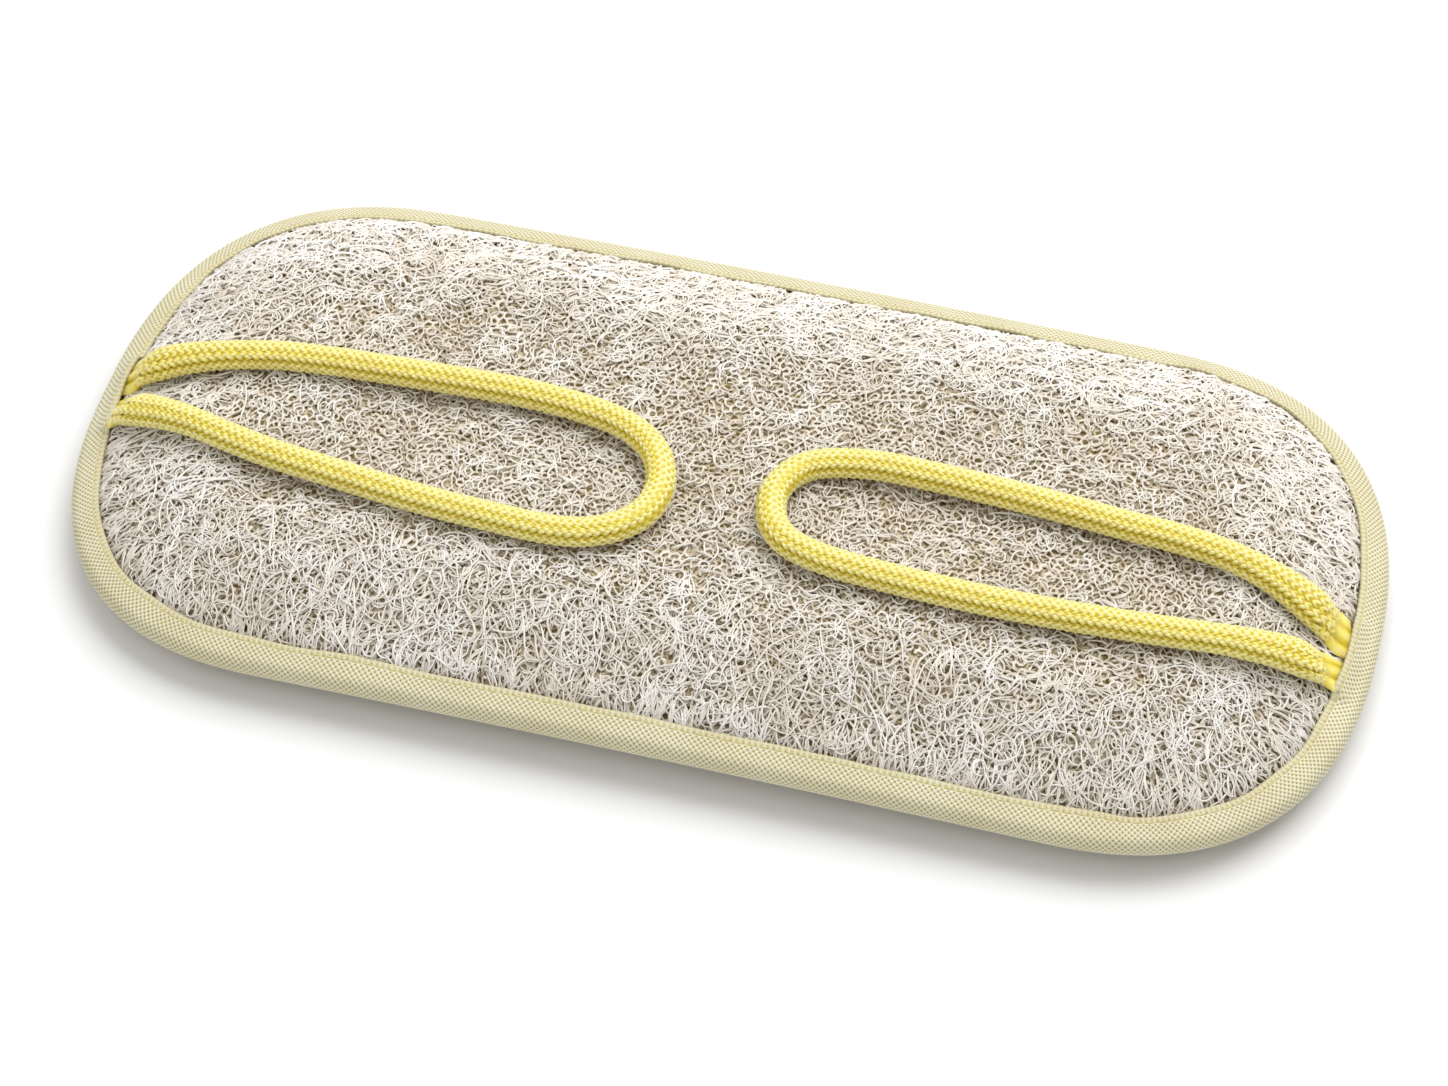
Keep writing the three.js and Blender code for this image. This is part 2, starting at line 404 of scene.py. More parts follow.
class NodeSheet:
    """Short-hand for wiring a material's nodes."""

    def __init__(self, name: str) -> None:
        """Starts a material with one principled shader.

        Args:
            name: Name of the material.
        """
        self.material = bpy.data.materials.new(name)
        self.material.use_nodes = True
        self.tree = self.material.node_tree
        self.shader = next(node for node in self.tree.nodes if node.type == "BSDF_PRINCIPLED")

    def add(self, kind: str, **settings: object) -> bpy.types.Node:
        """Adds a node; settings are its properties, or values of its inputs by name."""
        node = self.tree.nodes.new(kind)
        for key, value in settings.items():
            if key in node.bl_rna.properties:
                setattr(node, key, value)
            else:
                node.inputs[key.replace("_", " ")].default_value = value
        return node

    def link(self, source: bpy.types.NodeSocket, target: bpy.types.NodeSocket) -> None:
        """Joins two sockets."""
        self.tree.links.new(source, target)

    def value_of(self, name: str) -> bpy.types.NodeSocket:
        """Socket that reads a named value of the mesh."""
        return self.add("ShaderNodeAttribute", attribute_name=name).outputs["Fac"]

    def place(self) -> bpy.types.NodeSocket:
        """Socket with the point's place on the object."""
        return self.add("ShaderNodeTexCoord").outputs["Object"]

    def ramp(
        self, source: bpy.types.NodeSocket, stops: Sequence[tuple[float, Colour]]
    ) -> bpy.types.NodeSocket:
        """Colours by value.

        Args:
            source: The value.
            stops: Places from 0 to 1, each with its colour.

        Returns:
            The colour socket.
        """
        node = self.add("ShaderNodeValToRGB")
        elements = node.color_ramp.elements
        while len(elements) < len(stops):
            elements.new(1.0)
        for element, (spot, colour) in zip(elements, stops):
            element.position = spot
            element.color = (*colour, 1.0)
        self.link(source, node.inputs["Fac"])
        return node.outputs["Color"]

    def blend(
        self,
        mode: str,
        share: float | bpy.types.NodeSocket,
        low: bpy.types.NodeSocket,
        high: bpy.types.NodeSocket,
    ) -> bpy.types.NodeSocket:
        """Mixes two colours.

        Args:
            mode: Blender's blend type.
            share: How much of the second colour, as a number or a socket.
            low: First colour.
            high: Second colour.

        Returns:
            The mixed colour socket.
        """
        node = self.add("ShaderNodeMix", data_type="RGBA", blend_type=mode)
        if isinstance(share, float):
            node.inputs[0].default_value = share
        else:
            self.link(share, node.inputs[0])
        self.link(low, node.inputs[6])
        self.link(high, node.inputs[7])
        return node.outputs[2]

    def bump(self, height: bpy.types.NodeSocket, depth: float, strength: float) -> None:
        """Adds relief to the shader.

        Args:
            height: Relief, from 0 to 1.
            depth: Height in metres of a full step.
            strength: Share of the relief that shows.
        """
        node = self.add("ShaderNodeBump", Strength=strength, Distance=depth)
        self.link(height, node.inputs["Height"])
        self.link(node.outputs["Normal"], self.shader.inputs["Normal"])

    def set(self, **inputs: object) -> None:
        """Sets constant inputs of the shader, by name with underscores for spaces."""
        for key, value in inputs.items():
            self.shader.inputs[key.replace("_", " ")].default_value = value


@dataclass(frozen=True)
class FibreFinish:
    """Dry loofah strands in ivory; their tone value mixes a random tone with painted shade, so strands that
    lie deeper and the rims round the net's holes are painted tan.
    """

    deep: Colour = (0.36, 0.275, 0.155)
    middle: Colour = (0.78, 0.725, 0.635)
    pale: Colour = (0.95, 0.93, 0.90)
    roughness: float = 0.55

    def material(self) -> bpy.types.Material:
        """Builds the node material."""
        sheet = NodeSheet("loofah_strand")
        # Colour by tone: the dark tan end is painted shade, the pale end the strands' own ivory, and the
        # spread between is partly random tone.
        tone = sheet.ramp(sheet.value_of("tone"), [(0.0, self.deep), (0.45, self.middle), (1.0, self.pale)])
        patch = sheet.add("ShaderNodeTexNoise", Scale=55.0, Detail=3.0)
        sheet.link(sheet.place(), patch.inputs["Vector"])
        tint = sheet.ramp(patch.outputs["Fac"], [(0.3, (0.90, 0.86, 0.80)), (0.7, (1.0, 1.0, 1.0))])
        sheet.link(sheet.blend("MULTIPLY", 1.0, tone, tint), sheet.shader.inputs["Base Color"])
        grain = sheet.add("ShaderNodeTexNoise", Scale=4500.0, Detail=2.0)
        sheet.link(sheet.place(), grain.inputs["Vector"])
        sheet.bump(grain.outputs["Fac"], 0.05 * MM, 0.5)
        sheet.set(Roughness=self.roughness, Specular_IOR_Level=0.35)
        return sheet.material


@dataclass(frozen=True)
class CoreFinish:
    """Inside of the loofah, seen between the strands: a finer network with painted shade, its cells painted
    dark as the shade in the holes and its strands a deeper, shaded tan.
    """

    gap: Colour = (0.19, 0.135, 0.055)
    strand: Colour = (0.62, 0.53, 0.38)
    cell: float = 1.5 * MM

    def material(self) -> bpy.types.Material:
        """Builds the node material."""
        sheet = NodeSheet("loofah_core")
        sway = sheet.add("ShaderNodeTexNoise", Scale=600.0, Detail=2.0)
        sheet.link(sheet.place(), sway.inputs["Vector"])
        bend = sheet.add("ShaderNodeVectorMath", operation="SCALE", Scale=1.2 * MM)
        sheet.link(sway.outputs["Color"], bend.inputs[0])
        spot = sheet.add("ShaderNodeVectorMath", operation="ADD")
        sheet.link(sheet.place(), spot.inputs[0])
        sheet.link(bend.outputs[0], spot.inputs[1])
        cells = sheet.add("ShaderNodeTexVoronoi", feature="DISTANCE_TO_EDGE", Scale=1.0 / self.cell)
        sheet.link(spot.outputs[0], cells.inputs["Vector"])
        # Painted shade: the middle of each cell takes the dark gap colour, the edges a darker strand colour
        # than the strands on top.
        colour = sheet.ramp(cells.outputs["Distance"], [(0.05, self.strand), (0.22, self.gap)])
        sheet.link(colour, sheet.shader.inputs["Base Color"])
        sheet.set(Roughness=0.95, Specular_IOR_Level=0.1)
        return sheet.material


@dataclass(frozen=True)
class TapeFinish:
    """Woven binding tape: cream grains, with painted shade in ochre over the gaps between them and a painted
    highlight on the grain tops.
    """

    # gap is the painted shade between the grains, grain the yarn's own cream, top a painted highlight.
    gap: Colour = (0.30, 0.245, 0.10)
    grain: Colour = (0.67, 0.62, 0.405)
    top: Colour = (0.845, 0.805, 0.625)

    def material(self) -> bpy.types.Material:
        """Builds the node material."""
        sheet = NodeSheet("binding_weave")
        cross = sheet.add("ShaderNodeMath", operation="MULTIPLY")
        sheet.link(sheet.value_of("rib_wave"), cross.inputs[0])
        sheet.link(sheet.value_of("row_wave"), cross.inputs[1])
        grain = sheet.add("ShaderNodeMapRange", From_Min=-0.62, From_Max=0.42)
        sheet.link(cross.outputs[0], grain.inputs["Value"])
        # Painted shade and highlight by weave: hollows take the gap colour, grain tops the top colour.
        woven = sheet.ramp(grain.outputs["Result"], [(0.0, self.gap), (0.5, self.grain), (1.0, self.top)])
        # The satin band's lift value holds painted highlight and shade on its ribs and painted shade at the
        # seam and the flap's inner edge.
        satin = sheet.ramp(sheet.value_of("lift"), [(0.0, self.gap), (0.55, self.grain), (1.0, self.top)])
        colour = sheet.blend("MIX", sheet.value_of("flap"), woven, satin)
        patch = sheet.add("ShaderNodeTexNoise", Scale=70.0, Detail=4.0)
        sheet.link(sheet.place(), patch.inputs["Vector"])
        tint = sheet.ramp(patch.outputs["Fac"], [(0.3, (0.93, 0.91, 0.84)), (0.7, (1.0, 1.0, 1.0))])
        sheet.link(sheet.blend("MULTIPLY", 1.0, colour, tint), sheet.shader.inputs["Base Color"])
        yarn = sheet.add("ShaderNodeTexNoise", Scale=5000.0, Detail=2.0)
        sheet.link(sheet.place(), yarn.inputs["Vector"])
        relief = sheet.add("ShaderNodeMath", operation="MULTIPLY_ADD")
        relief.inputs[1].default_value = 0.25
        sheet.link(yarn.outputs["Fac"], relief.inputs[0])
        sheet.link(grain.outputs["Result"], relief.inputs[2])
        sheet.bump(relief.outputs[0], 0.24 * MM, 0.7)
        sheet.set(Roughness=0.6, Specular_IOR_Level=0.3, Sheen_Weight=0.15, Sheen_Roughness=0.4)
        return sheet.material


@dataclass(frozen=True)
class ThreadFinish:
    """Spun sewing thread in a deeper yellow than the tape."""

    shade: Colour = (0.55, 0.45, 0.16)
    light: Colour = (0.76, 0.68, 0.36)

    def material(self) -> bpy.types.Material:
        """Builds the node material."""
        sheet = NodeSheet("sewing_thread")
        twist = sheet.add("ShaderNodeTexNoise", Scale=2500.0, Detail=2.0)
        sheet.link(sheet.place(), twist.inputs["Vector"])
        colour = sheet.ramp(twist.outputs["Fac"], [(0.35, self.shade), (0.65, self.light)])
        sheet.link(colour, sheet.shader.inputs["Base Color"])
        sheet.bump(twist.outputs["Fac"], 0.05 * MM, 0.6)
        sheet.set(Roughness=0.6, Specular_IOR_Level=0.3)
        return sheet.material


@dataclass(frozen=True)
class CordFinish:
    """Lemon yellow satin braid, with painted shade in the grooves and between the grains and a painted
    highlight on the grain tops.
    """

    # gap is painted shade, yarn the braid's own yellow, top a painted highlight.
    gap: Colour = (0.66, 0.48, 0.016)
    yarn: Colour = (0.93, 0.79, 0.09)
    top: Colour = (0.97, 0.905, 0.44)

    def material(self) -> bpy.types.Material:
        """Builds the node material."""
        sheet = NodeSheet("loop_braid")
        # Colour by lift: painted shade where lift is low, painted highlight where it is high; tone adds a
        # random tint.
        colour = sheet.ramp(sheet.value_of("lift"), [(0.0, self.gap), (0.5, self.yarn), (1.0, self.top)])
        tint = sheet.ramp(sheet.value_of("tone"), [(0.0, (0.88, 0.86, 0.80)), (1.0, (1.0, 1.0, 1.0))])
        sheet.link(sheet.blend("MULTIPLY", 1.0, colour, tint), sheet.shader.inputs["Base Color"])
        hair = sheet.add("ShaderNodeTexNoise", Scale=6000.0, Detail=2.0)
        sheet.link(sheet.place(), hair.inputs["Vector"])
        sheet.bump(hair.outputs["Fac"], 0.04 * MM, 0.5)
        sheet.set(Roughness=0.30, Specular_IOR_Level=0.65, Sheen_Weight=0.15, Sheen_Roughness=0.35)
        return sheet.material


@dataclass(frozen=True)
class FibreLayer:
    """One layer of strands: how many, how long and thick, how deep they lie and how they curl."""

    name: str
    side: Side
    count: int
    points: int
    step: float
    depth: float
    spread: float
    thin: float
    thick: float
    dark: float
    light: float
    curl: float
    inner_limit: float = 1.0
    up_slope: float = 0.0
    thinning: float = 0.0


@dataclass(frozen=True)
class FibreWeb:
    """Net of joined strands over one face of the loofah, with cells one pitch wide."""

    name: str
    side: Side
    pitch: float


@dataclass
class LoofahPad:
    """The loofah: a core with painted shade, and layers of real strands over both faces."""

    shape: PadShape
    core_depth: float = 1.4 * MM
    front_web: FibreWeb = FibreWeb("front_web", Side.FRONT, 1.75 * MM)
    back_web: FibreWeb = FibreWeb("back_web", Side.BACK, 2.6 * MM)
    web_jitter: float = 0.20
    web_sway: float = 0.62 * MM
    web_open: float = 0.66
    web_open_middle: float = 0.78
    web_gaps: float = 0.14
    web_height: float = -0.55 * MM
    web_thickness: float = 0.45 * MM
    # Painted shade: the tone of the cell rims, which slope down into the holes of the net.
    web_rim_shade: float = 0.16
    hubs: int = 360
    spokes: int = 6
    spoke_points: int = 5
    spoke_step: float = 0.95 * MM
    seed: int = 11

    def layers(self) -> list[FibreLayer]:
        """Lists the strand layers, deepest first."""
        front, back = Side.FRONT, Side.BACK
        # The deep front curls' darker tone range is painted shade; within each range the tone is random.
        return [
            FibreLayer("front_low_curls", front, 2600, 10, 0.80 * MM, -0.40 * MM, 0.22 * MM,
                       0.20 * MM, 0.29 * MM, 0.40, 0.85, 0.58, up_slope=0.25, thinning=0.45),
            FibreLayer("front_high_curls", front, 3900, 10, 0.72 * MM, -0.02 * MM, 0.24 * MM,
                       0.18 * MM, 0.26 * MM, 0.62, 1.00, 0.66, up_slope=0.40, thinning=0.25),
            FibreLayer("front_slope_strands", front, 1550, 11, 1.45 * MM, 0.10 * MM, 0.22 * MM,
                       0.17 * MM, 0.26 * MM, 0.60, 1.00, 0.10, inner_limit=36.0 * MM, up_slope=1.0),
            FibreLayer("front_rim_strands", front, 1500, 6, 1.3 * MM, -0.05 * MM, 0.15 * MM,
                       0.20 * MM, 0.30 * MM, 0.45, 0.95, 0.16, inner_limit=11.0 * MM, up_slope=0.9),
            FibreLayer("back_strands", back, 1900, 9, 1.20 * MM, -0.42 * MM, 0.12 * MM,
                       0.24 * MM, 0.34 * MM, 0.60, 1.00, 0.40, up_slope=0.5),
        ]

    def build_web(
        self, web: FibreWeb, rng: np.random.Generator, finish: bpy.types.Material,
    ) -> list[bpy.types.Object]:
        """Builds the net of joined strands round small open cells that covers a face.

        Args:
            web: Net to build.
            rng: Source of chance.
            finish: Material of the strands.

        Returns:
            The left and right halves of the net.
        """
        shape = self.shape
        pitch = web.pitch
        east = np.array([pitch, 0.0])
        north = np.array([0.5, 0.5 * math.sqrt(3.0)]) * pitch
        rows = int(2.0 * shape.half_width / north[1]) + 2
        columns = int(2.0 * shape.half_length / pitch) + rows // 2 + 2
        q, r = np.meshgrid(np.arange(columns), np.arange(rows), indexing="ij")
        corner = np.array([-shape.half_length - rows // 2 * pitch, -shape.half_width])
        middle = corner + q[..., None] * east + r[..., None] * north
        knots = np.stack([middle + (east + north) / 3.0, middle + (east + north) * 2.0 / 3.0])
        knots = knots + rng.normal(0.0, self.web_jitter * pitch, knots.shape)
        sway = np.stack([
            np.sin(knots[..., 1] / (2.3 * MM) + 0.5) + np.sin(knots[..., 0] / (3.1 * MM) + 1.1),
            np.sin(knots[..., 0] / (2.6 * MM)) + np.sin((knots[..., 0] + knots[..., 1]) / (3.7 * MM) + 2.0),
        ], axis=-1)
        knots = knots + self.web_sway * sway
        number = np.arange(knots[..., 0].size).reshape(knots.shape[:3])
        first, second = number[0], number[1]
        ring = np.stack([first[1:, 1:], second[:-1, 1:], first[:-1, 1:],
                         second[:-1, :-1], first[1:, :-1], second[1:, :-1]], axis=-1).reshape(-1, 6)
        spots = knots.reshape(-1, 2)
        inset = shape.read(shape.inset_grid, spots[:, 0], spots[:, 1])
        ring = ring[inset[ring].min(axis=1) > 4.6 * MM]
        height = rng.normal(0.0, 0.13, len(spots)) * MM
        tone = np.clip(rng.normal(0.76, 0.14, len(spots)), 0.0, 1.0)
        openness = self.web_open + (self.web_open_middle - self.web_open) * ease(inset, 18.0 * MM, 45.0 * MM)
        halves = []
        for half, want_right in (("left", False), ("right", True)):
            part = ring[(spots[ring, 0].mean(axis=1) > 0.0) == want_right]
            used, part = np.unique(part, return_inverse=True)
            part = part.reshape(-1, 6)
            pairs = np.sort(np.stack([part, np.roll(part, -1, axis=1)], axis=-1).reshape(-1, 2), axis=1)
            bars, bar_of = np.unique(pairs, axis=0, return_inverse=True)
            whole = (rng.uniform(0.0, 1.0, len(bars)) > self.web_gaps)[bar_of.reshape(-1)]
            knot = spots[used]
            hub = knot[part].mean(axis=1, keepdims=True)
            open_share = openness[used][part].mean(axis=1)[:, None, None]
            open_share = np.clip(rng.normal(0.0, 0.10, open_share.shape) + open_share, 0.3, 0.88)
            rim = hub + (knot[part] - hub) * open_share
            rim = 0.76 * rim + 0.12 * (np.roll(rim, 1, axis=1) + np.roll(rim, -1, axis=1))
            plan = np.concatenate([knot, rim.reshape(-1, 2)])
            lift = np.concatenate([self.web_height + height[used],
                                   np.full(6 * len(part), self.web_height - self.web_thickness)])
            spot, normal = shape.on_face(web.side, plan[:, 0], plan[:, 1])
            inner = len(knot) + np.arange(6 * len(part)).reshape(-1, 6)
            quads = np.stack([part, np.roll(part, -1, axis=1), np.roll(inner, -1, axis=1), inner], axis=-1)
            # Knots take a random tone; the rims take the painted shade tone.
            shade = np.concatenate([tone[used], np.full(6 * len(part), self.web_rim_shade)])
            quads = quads.reshape(-1, 4)[whole][:, :: web.side.value]
            data = MeshData(spot + normal * lift[:, None], quads, [], {"tone": shade})
            halves.append(data.build(f"{web.name}_{half}", finish, Slot.LOOFAH))
        return halves

    def build_core(self) -> bpy.types.Object:
        """Builds the closed inner body that shows between the strands.

        Returns:
            The core's object.
        """
        shape = self.shape
        points, outward, _ = shape.even_outline(240)
        insets = np.array([2.4, 4.5, 7.0, 9.0, 12.0, 15.0, 19.0, 23.0, 27.0]) * MM
        rings = points[None] - outward[None] * insets[:, None, None]
        middle_x = rings[-1, :, 0] * (shape.half_length - shape.half_width) / (shape.half_length - insets[-1])
        middle = np.stack([middle_x, np.zeros_like(middle_x)], axis=-1)
        inner = [rings[-1] + (middle - rings[-1]) * share for share in np.linspace(0.12, 0.97, 8)]
        plan = np.concatenate([rings, np.stack(inner)])
        faces = {}
        for side in Side:
            spot, normal = shape.on_face(side, plan[..., 0], plan[..., 1])
            faces[side] = spot - normal * self.core_depth
        sheet = np.concatenate([faces[Side.BACK][::-1], faces[Side.FRONT]])
        rows, columns, _ = sheet.shape
        grid = np.arange(rows * columns).reshape(rows, columns)
        after = np.roll(grid, -1, axis=1)
        quads = np.stack([grid[:-1], after[:-1], after[1:], grid[1:]], axis=-1).reshape(-1, 4)
        half = columns // 2
        lids = []
        for row, flip in ((grid[0], True), (grid[-1], False)):
            order = np.arange(1, half)
            strip = np.stack([row[order], row[order + 1], row[-order - 1], row[-order]], axis=-1)
            tips = np.array([[row[0], row[1], row[-1]]])
            strip = strip[:-1]
            last = np.array([[row[half - 1], row[half], row[half + 1]]])
            lids += [part[:, ::-1] if flip else part for part in (strip, tips, last)]
        data = MeshData(sheet.reshape(-1, 3), quads, lids)
        core = data.build("loofah_core", CoreFinish().material(), Slot.LOOFAH)
        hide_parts("loofah_pad")
        return core

    def lay(self, layer: FibreLayer, x: Array, y: Array, lift: Array, tone: Array, thick: Array) -> MeshData:
        """Turns plan lines into strands that lie on a face.

        Args:
            layer: Layer that the strands belong to.
            x: Places along the pad, shaped (strands, points).
            y: Places across the pad, of the same shape.
            lift: Height over the face, of the same shape.
            tone: Paleness of each strand.
            thick: Half thickness of each strand.

        Returns:
            The strands as one mesh.
        """
        spot, normal = self.shape.on_face(layer.side, x, y)
        inset = self.shape.read(self.shape.inset_grid, x, y)
        lift = np.where(inset < self.shape.rim_inset, np.minimum(lift, -0.15 * MM), lift)
        centres = spot + normal * lift[..., None]
        if layer.side is Side.BACK:
            centres[..., 2] = np.maximum(centres[..., 2], layer.thick)
        place = np.linspace(-1.0, 1.0, x.shape[1])
        taper = 1.0 - 0.55 * np.abs(place) ** 4
        radius = thick[:, None] * taper
        # Painted shade: strand points that lie lower than their layer's depth are darker, higher ones paler.
        shade = np.clip(tone[:, None] + 0.16 * (lift - layer.depth) / layer.spread, 0.0, 1.0)
        return tubes(centres, normal, radius, radius, 3, {"tone": shade}, open_below=True)

    def wander(self, layer: FibreLayer, rng: np.random.Generator) -> MeshData:
        """Lets strands wander over a face in curls.

        Args:
            layer: Layer to make.
            rng: Source of chance.

        Returns:
            The strands as one mesh.
        """
        shape = self.shape
        spots = np.empty((0, 2))
        limit = min(layer.inner_limit, 1.0)
        while len(spots) < layer.count:
            x = rng.uniform(-shape.half_length, shape.half_length, layer.count)
            y = rng.uniform(-shape.half_width, shape.half_width, layer.count)
            inset = shape.read(shape.inset_grid, x, y)
            sparse = layer.thinning * ease(inset, 22.0 * MM, 50.0 * MM)
            keep = (inset > 6.0 * MM) & (inset < limit) & (rng.uniform(0.0, 1.0, layer.count) > sparse)
            spots = np.concatenate([spots, np.stack([x, y], axis=-1)[keep]])
        spots = spots[: layer.count]
        inset = shape.read(shape.inset_grid, spots[:, 0], spots[:, 1])
        outward = shape.read(shape.outward_grid, spots[:, 0], spots[:, 1])
        free = rng.uniform(0.0, 2.0 * math.pi, layer.count)
        drawn = np.arctan2(outward[:, 1], outward[:, 0]) + rng.normal(0.0, 0.45, layer.count)
        pull = layer.up_slope * (1.0 - ease(inset, 14.0 * MM, 34.0 * MM))
        heading = np.where(rng.uniform(0.0, 1.0, layer.count) < pull, drawn, free)
        turn = rng.normal(0.0, layer.curl, layer.count) / MM
        x = np.empty((layer.count, layer.points))
        y = np.empty_like(x)
        half_run = 0.5 * (layer.points - 1) * layer.step
        place = spots - half_run * np.stack([np.cos(heading), np.sin(heading)], axis=-1)
        heading = heading - 0.5 * (layer.points - 1) * turn * layer.step
        for index in range(layer.points):
            x[:, index], y[:, index] = place[:, 0], place[:, 1]
            place = place + layer.step * np.stack([np.cos(heading), np.sin(heading)], axis=-1)
            heading = heading + turn * layer.step
            turn = turn + rng.normal(0.0, 0.10, layer.count) / MM
        inset = shape.read(shape.inset_grid, x, y)
        inside = inset.min(axis=1) > 2.6 * MM
        x, y = x[inside], y[inside]
        count = len(x)
        phase = rng.uniform(0.0, 2.0 * math.pi, (count, 1))
        pace = rng.uniform(0.5, 1.1, (count, 1))
        sway = np.sin(phase + pace * np.arange(layer.points))
        ends = np.abs(np.linspace(-1.0, 1.0, layer.points)) ** 6
        lift = layer.depth + layer.spread * sway + rng.normal(0.0, 0.4, (count, 1)) * layer.spread
        lift = lift - 0.45 * MM * ends
        tone = rng.uniform(layer.dark, layer.light, count)
        thick = rng.uniform(layer.thin, layer.thick, count)
        return self.lay(layer, x, y, lift, tone, thick)

    def stars(self, layer: FibreLayer, rng: np.random.Generator) -> MeshData:
        """Knots where several strands meet and fan out.

        Args:
            layer: Layer that the knots lie in.
            rng: Source of chance.

        Returns:
            The strands of all knots as one mesh.
        """
        shape = self.shape
        x = rng.uniform(-shape.half_length, shape.half_length, 4 * self.hubs)
        y = rng.uniform(-shape.half_width, shape.half_width, 4 * self.hubs)
        keep = shape.read(shape.inset_grid, x, y) > 12.0 * MM
        hubs = np.stack([x, y], axis=-1)[keep][: self.hubs]
        hubs = np.repeat(hubs, self.spokes, axis=0)
        count = len(hubs)
        fan = np.tile(np.arange(self.spokes), count // self.spokes) * 2.0 * math.pi / self.spokes
        start = np.repeat(rng.uniform(0.0, 2.0 * math.pi, count // self.spokes), self.spokes)
        heading = start + fan + rng.normal(0.0, 0.25, count)
        turn = rng.normal(0.0, 0.22, count) / MM
        step = self.spoke_step * rng.uniform(0.7, 1.2, count)
        lines = np.empty((count, self.spoke_points, 2))
        place = hubs
        for index in range(self.spoke_points):
            lines[:, index] = place
            place = place + step[:, None] * np.stack([np.cos(heading), np.sin(heading)], axis=-1)
            heading = heading + turn * step
        out = np.linspace(0.0, 1.0, self.spoke_points)
        lift = (0.22 - 0.75 * out**1.5) * MM + np.zeros((count, 1))
        tone = rng.uniform(0.75, 1.0, count)
        thick = rng.uniform(layer.thin, layer.thick, count)
        return self.lay(layer, lines[..., 0], lines[..., 1], lift, tone, thick)

    def build(self) -> list[bpy.types.Object]:
        """Builds the core and every strand layer.

        Returns:
            The pieces, the core first.
        """
        rng = np.random.default_rng(self.seed)
        pieces = [self.build_core()]
        finish = FibreFinish().material()
        pieces += self.build_web(self.front_web, rng, finish)
        for layer in self.layers():
            data = self.wander(layer, rng)
            if layer.name == "front_slope_strands":
                data = MeshData.joined([data, self.stars(layer, rng)])
            pieces.append(data.build(layer.name, finish, Slot.LOOFAH))
        return pieces + self.build_web(self.back_web, rng, finish)


@dataclass
class CordEnd:
    """Where one leg of a loop goes under the tape."""

    turn: float
    half_width: float


@dataclass(frozen=True)
class Groove:
    """Lengthwise groove of the braid, by its angle from the top down towards the pad's near side."""

    angle: float
    end_angle: float
    depth: float


